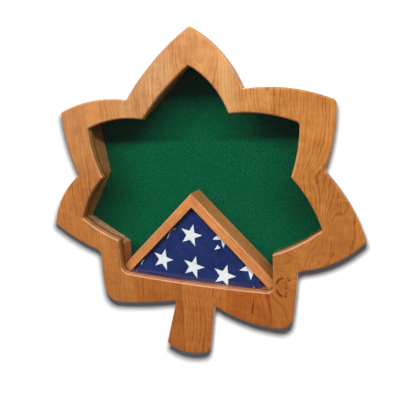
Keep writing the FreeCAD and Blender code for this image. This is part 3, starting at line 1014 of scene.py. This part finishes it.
feet = bmesh.new()
for corners in separate_solids("wall_bumpers"):
    middle = sum(corners, Vector()) / len(corners)
    low = min(corner.y for corner in corners)
    height = max(corner.y for corner in corners) - low
    radius = max((corner - middle).cross(rearward).length for corner in corners)
    rings = []
    for out, rise in bumper_profile:
        ring = []
        for count in range(bumper_sides):
            angle = 2 * math.pi * count / bumper_sides
            spot = Vector((middle.x + radius * out * math.cos(angle), low + height * rise,
                           middle.z + radius * out * math.sin(angle)))
            ring.append(feet.verts.new(spot))
        rings.append(ring)
    join_rings(feet, rings)
    feet.faces.new(rings[0])
    feet.faces.new(rings[-1])
bmesh.ops.recalc_face_normals(feet, faces=feet.faces)
for face in feet.faces:
    face.smooth = True
bumpers = new_piece("moulded_bumpers", feet, rubber, "case")
bumpers.data.set_sharp_from_angle(angle=bumper_sharp_angle)
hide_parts("wall_bumpers")


# The studio: a white wall just behind the bumpers, three strip lamps in a row above the front, one
# soft lamp at the rear and a dim room. The wall has a lamp of its own close to the camera, which
# gives the soft shadow round the leaf.

wall_gap = 0.004
wall_size = 6.0
wall_middle_drop = 0.1
wall_fade_from = 0.42
wall_fade_to = 1.0
camera_place = Vector((0.30735, -0.81064, 0.06233))
camera_view = Vector((-0.35109, 0.91329, -0.20647))
camera_up = Vector((-0.03136, 0.20891, 0.97743))
camera_lens = 33.77

paper = Finish("white_wall", {"Specular IOR Level": 0.0})
grit = paper.clouds(paper.reach((40.0, 0.0, 0.0)), 0.0, paper.reach((0.0, 0.0, 40.0)), 3.0)
paper.paint(paper.mix(grit, rgb(178, 178, 178), rgb(182, 182, 182)), 0.9)
out = (paper.reach((1.0, 0.0, 0.0)) ** 2 + (paper.reach((0.0, 0.0, 1.0)) + wall_middle_drop) ** 2) ** 0.5
far = paper.mix(out.step(wall_fade_from, wall_fade_to), (0.022, 0.021, 0.023, 1.0), (0.6, 0.6, 0.6, 1.0))
paper.feed(paper.shader.inputs["Emission Color"], far)
paper.shader.inputs["Emission Strength"].default_value = 1.0
behind = paper.node("ShaderNodeNewGeometry", {}, {}, "Backfacing")
open_air = paper.node("ShaderNodeBsdfTransparent", {}, {})
front_only = {0: behind, 1: Tone(paper, paper.shader.outputs[0]), 2: open_air}
paper.feed(paper.surface, paper.node("ShaderNodeMixShader", {}, front_only))

sheet = bmesh.new()
spread = wall_size / 2
wall_corners = [(-spread, wall_gap, -spread), (spread, wall_gap, -spread),
                (spread, wall_gap, spread), (-spread, wall_gap, spread)]
sheet.faces.new([sheet.verts.new(corner) for corner in wall_corners])
wall_data = bpy.data.meshes.new("white_wall")
sheet.to_mesh(wall_data)
sheet.free()
wall_data.materials.append(paper.material)
wall = bpy.data.objects.new("white_wall", wall_data)
bpy.context.scene.collection.objects.link(wall)
wall.visible_diffuse = False
wall.visible_glossy = False
wall.visible_transmission = False
wall.visible_shadow = False


def link_light(made, state, receivers):
    """Has a lamp light only the receivers, or everything apart from them."""
    lit = bpy.data.collections.new(made.name + "_lights")
    for number, receiver in enumerate(receivers):
        lit.objects.link(receiver)
        lit.collection_objects[number].light_linking.link_state = state
    made.light_linking.receiver_collection = lit


def softbox(name, place, direction, width, height, watts):
    """A soft lamp that lights the case, casts no glare on its glazing and leaves the wall alone."""
    data = bpy.data.lights.new(name, "AREA")
    data.shape = "RECTANGLE"
    data.size = width
    data.size_y = height
    data.energy = watts
    made = bpy.data.objects.new(name, data)
    made.location = place
    made.rotation_euler = Vector(direction).to_track_quat("-Z", "Y").to_euler()
    made.visible_camera = False
    bpy.context.scene.collection.objects.link(made)
    link_light(made, "EXCLUDE", (wall, pane_sheet))


strip_front = -1.75
strip_rise = 1.30
strip_depth = 0.14
strip_down = (0.0, 1.68, -1.40)
strips = (
    ("strip_left", -1.7, 1.8, 55.0),
    ("strip_middle", 0.0, 1.6, 22.0),
    ("strip_right", 1.7, 1.8, 46.0),
)
for name, beside, width, watts in strips:
    softbox(name, (beside, strip_front, strip_rise), strip_down, width, strip_depth, watts)
softbox("rear", (-0.9, 1.5, 1.9), (0.9, -1.5, -2.0), 1.6, 1.2, 64.0)

wall_lamp_ahead = 0.12
wall_lamp_rise = Vector((0.0, 0.0, 0.097))
wall_light = bpy.data.lights.new("wall_lamp", "POINT")
wall_light.shadow_soft_size = 0.062
wall_light.energy = 122.0
wall_light.use_nodes = True
glow = wall_light.node_tree.nodes["Emission"]
even = wall_light.node_tree.nodes.new("ShaderNodeLightFalloff")
even.inputs["Strength"].default_value = 1.0
wall_light.node_tree.links.new(even.outputs["Constant"], glow.inputs["Strength"])
wall_lamp = bpy.data.objects.new("wall_lamp", wall_light)
wall_lamp.location = camera_place + camera_view * wall_lamp_ahead + wall_lamp_rise
wall_lamp.visible_camera = False
bpy.context.scene.collection.objects.link(wall_lamp)
link_light(wall_lamp, "INCLUDE", (wall,))


class Room(Finish):
    """The world's nodes, built in the same way as a finish."""

    def __init__(self, name):
        self.world = bpy.data.worlds.new(name)
        self.world.use_nodes = True
        self.tree = self.world.node_tree
        self.colour = self.tree.nodes["Background"].inputs["Color"]


room = Room("room")
bpy.context.scene.world = room.world
seen = room.node("ShaderNodeLightPath", {}, {}, "Is Camera Ray")
mirrored = room.node("ShaderNodeLightPath", {}, {}, "Is Glossy Ray")
through = room.node("ShaderNodeLightPath", {}, {}, "Is Transmission Ray")
direction = room.node("ShaderNodeTexCoord", {}, {}, "Generated")
toward_wall = room.node("ShaderNodeSeparateXYZ", {}, {0: direction}, 1).step(0.0, 0.1)
glossy = mirrored.at_least(through)
ambient = room.mix(glossy, (0.15, 0.15, 0.15, 1.0), (0.06, 0.06, 0.065, 1.0))
white = seen.at_least(glossy * toward_wall)
room.feed(room.colour, room.mix(white, ambient, (1.0, 1.0, 1.0, 1.0)))

camera_data = bpy.data.cameras.new("camera")
camera_data.lens = camera_lens
camera_data.sensor_width = 36.0
camera_data.clip_start = 0.01
camera = bpy.data.objects.new("camera", camera_data)
bpy.context.scene.collection.objects.link(camera)
camera_side = camera_view.cross(camera_up).normalized()
turned = Matrix((camera_side, camera_up, -camera_view)).transposed().to_4x4()
camera.matrix_world = Matrix.Translation(camera_place) @ turned
bpy.context.scene.camera = camera
bpy.context.scene.view_settings.view_transform = "Standard"
